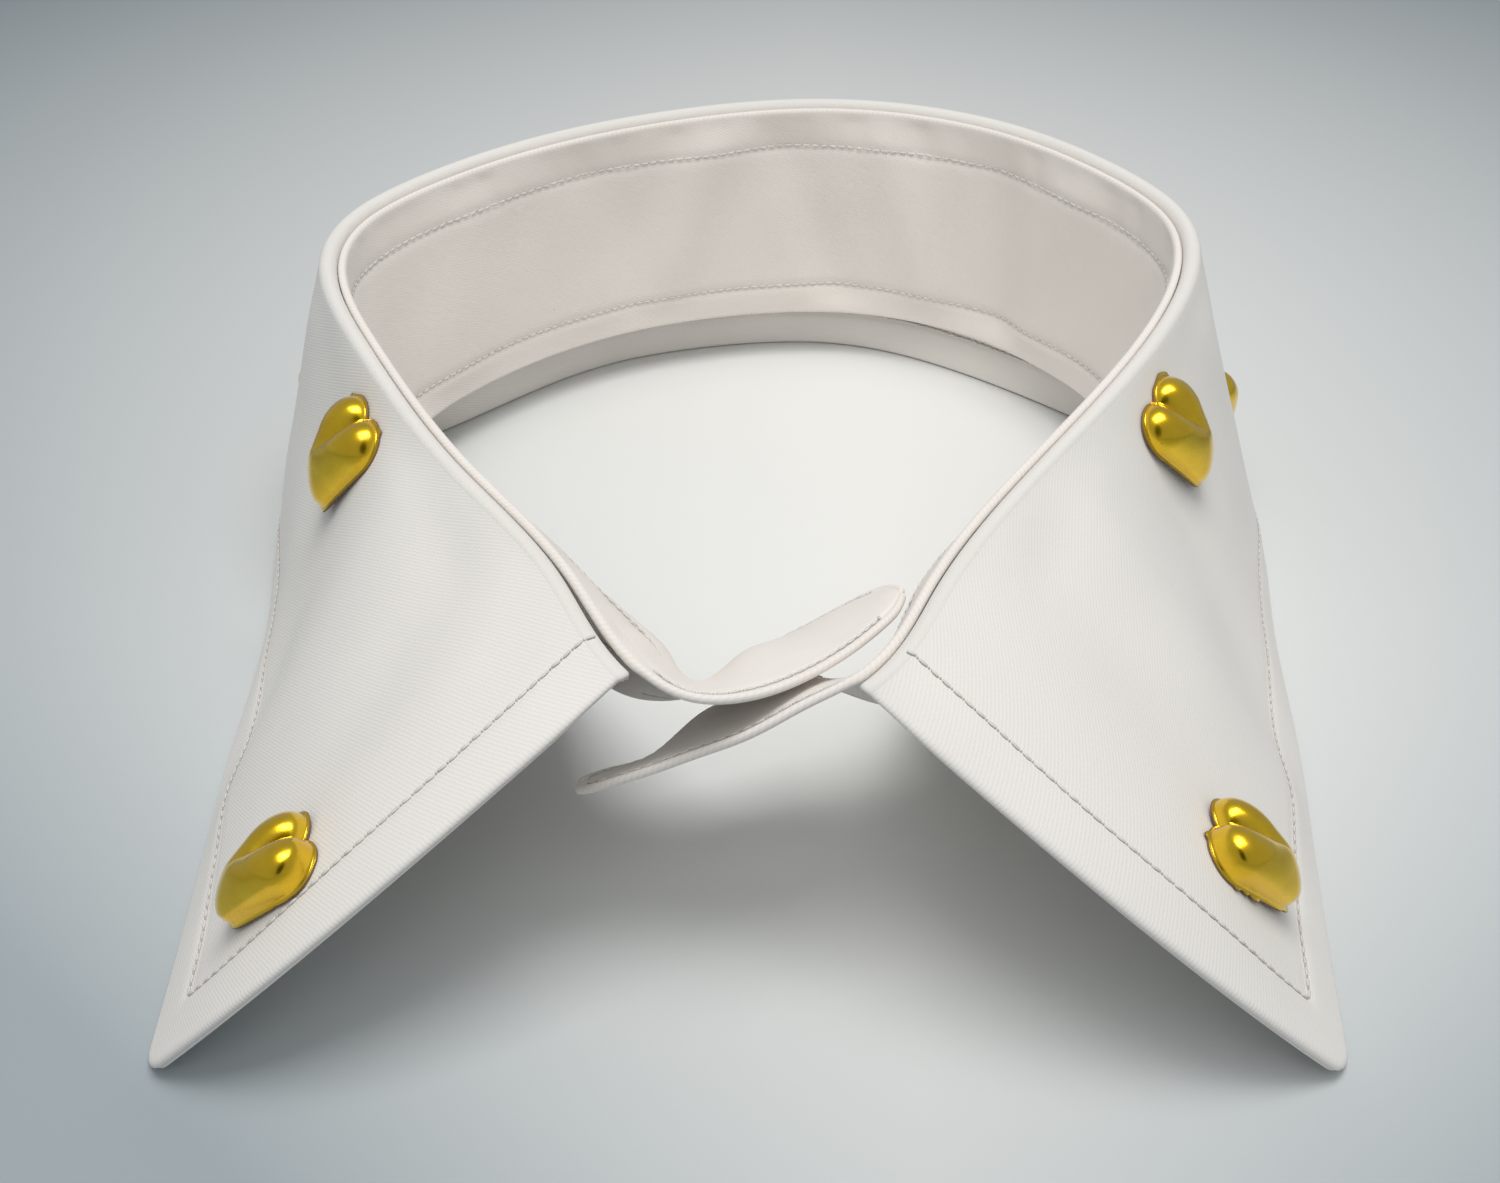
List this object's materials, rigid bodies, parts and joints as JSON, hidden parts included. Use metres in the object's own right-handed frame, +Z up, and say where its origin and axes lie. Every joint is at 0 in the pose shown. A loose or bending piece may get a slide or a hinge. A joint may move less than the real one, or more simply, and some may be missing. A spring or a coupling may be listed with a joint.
{
  "type": "detachable shirt collar",
  "caption": "Detachable shirt collar: a stand band with rounded lapping tabs and a long-pointed leaf folded down over it, set with puffed heart studs, open at the neck.",
  "frame": {"origin": "middle of the collar's outline, at the table it stands on", "axes": "+Z up from the table; +Y toward the back of the neck and -Y toward the leaf's points; the wearer's right is at -X"},
  "size_m": [0.156, 0.1772, 0.0482],
  "materials": {
    "band_cloth": "white cotton, matt",
    "leaf_cloth": "white cotton, matt",
    "stud_metal": "polished gold colour"
  },
  "bodies": {
    "root": {"band": "band_cloth", "leaf": "leaf_cloth", "stud_right_point": "stud_metal", "stud_right_roll": "stud_metal", "stud_right_side": "stud_metal", "stud_left_side": "stud_metal", "stud_left_roll": "stud_metal", "stud_left_point": "stud_metal"}
  },
  "joints": []
}
